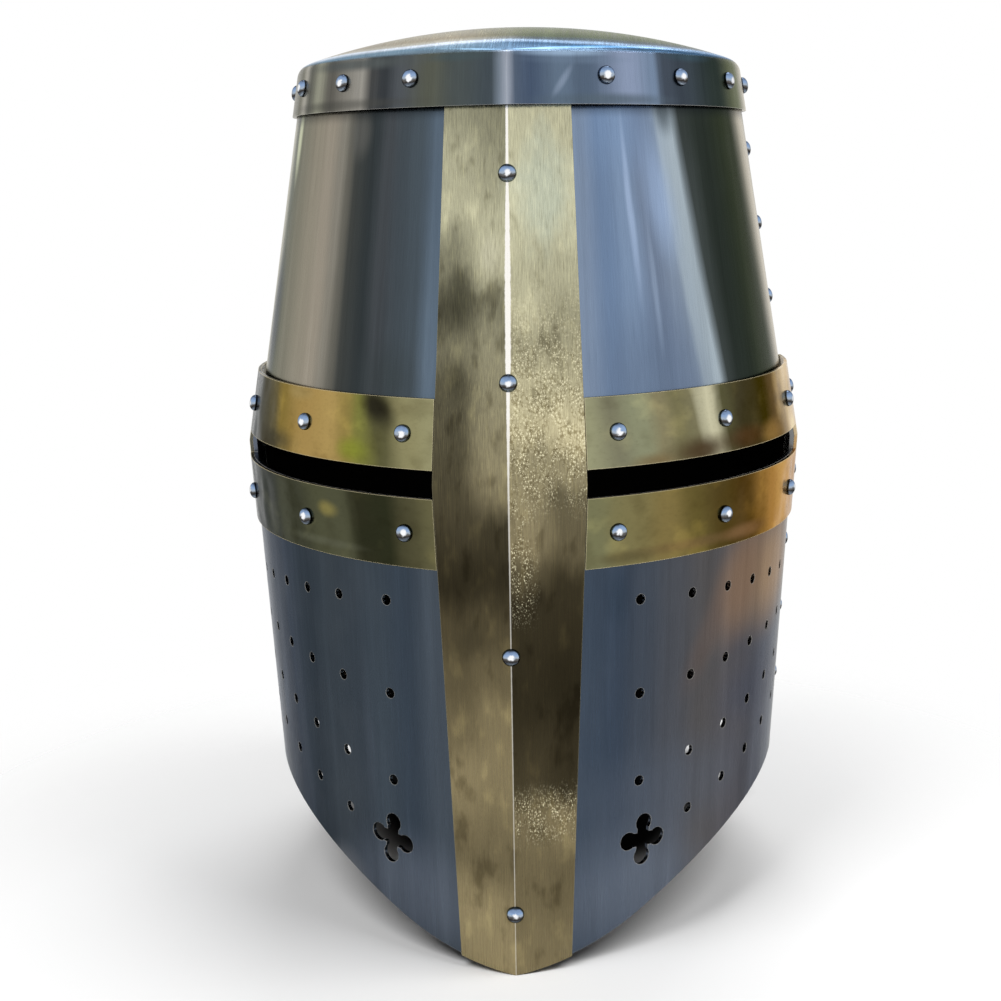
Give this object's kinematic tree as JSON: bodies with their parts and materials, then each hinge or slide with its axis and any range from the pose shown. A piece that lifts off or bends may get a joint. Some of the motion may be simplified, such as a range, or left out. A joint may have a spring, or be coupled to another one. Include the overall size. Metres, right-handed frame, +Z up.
{
  "type": "great helm",
  "caption": "Closed steel great helm with a pointed keeled front, a riveted brass cross around the sights, a leather lining and a buckled chin strap.",
  "frame": {"origin": "under the middle of the helm's width and depth, at the height of the front's lowest point", "axes": "+Z up through the crown, -Y out of the keeled front, +X to the right of a viewer who faces the front"},
  "size_m": [0.2196, 0.2498, 0.3275],
  "materials": {
    "steel": "polished with broad vertical streaks",
    "rivet_steel": "polished",
    "upright_brass": "aged, brushed lengthways and pitted",
    "arm_brass": "polished, lightly tarnished",
    "buckle_brass": "satin",
    "lining_leather": "matt, worn",
    "strap_leather": "waxed"
  },
  "bodies": {
    "shell": {"crown_plate": "steel", "upper_front_plate": "steel", "upper_back_plate": "steel", "lower_front_plate": "steel", "lower_back_plate": "steel", "brass_upright": "upright_brass", "brass_arm_right": "arm_brass", "brass_arm_left": "arm_brass", "crown_rivets": "rivet_steel", "upright_rivets": "rivet_steel", "arm_rivets_right": "rivet_steel", "arm_rivets_left": "rivet_steel", "upper_seam_rivets": "rivet_steel", "lower_seam_rivets": "rivet_steel", "waist_rivets": "rivet_steel", "liner_headband": "lining_leather", "liner_washers": "rivet_steel", "liner_rivets": "rivet_steel", "liner_crown_patch": "lining_leather", "patch_rivets": "rivet_steel", "strap_rivets": "rivet_steel", "strap_spacers": "rivet_steel", "strap_washers": "rivet_steel", "liner_tongue_1": "lining_leather", "liner_tongue_2": "lining_leather", "liner_tongue_3": "lining_leather", "liner_tongue_4": "lining_leather", "liner_tongue_5": "lining_leather", "liner_tongue_6": "lining_leather", "liner_tongue_7": "lining_leather", "liner_tongue_8": "lining_leather"},
    "chin_strap": {"chin_strap_left": "strap_leather", "chin_strap_right": "strap_leather", "strap_keeper": "strap_leather", "buckle_frame": "buckle_brass", "buckle_prong": "buckle_brass"}
  },
  "joints": [
    {"name": "chin_strap_swing", "type": "hinge", "parent": "shell", "child": "chin_strap", "pos_m": [0, 0.0129, 0.127], "axis": [1, 0, 0], "range_deg": [-25, 25]}
  ]
}
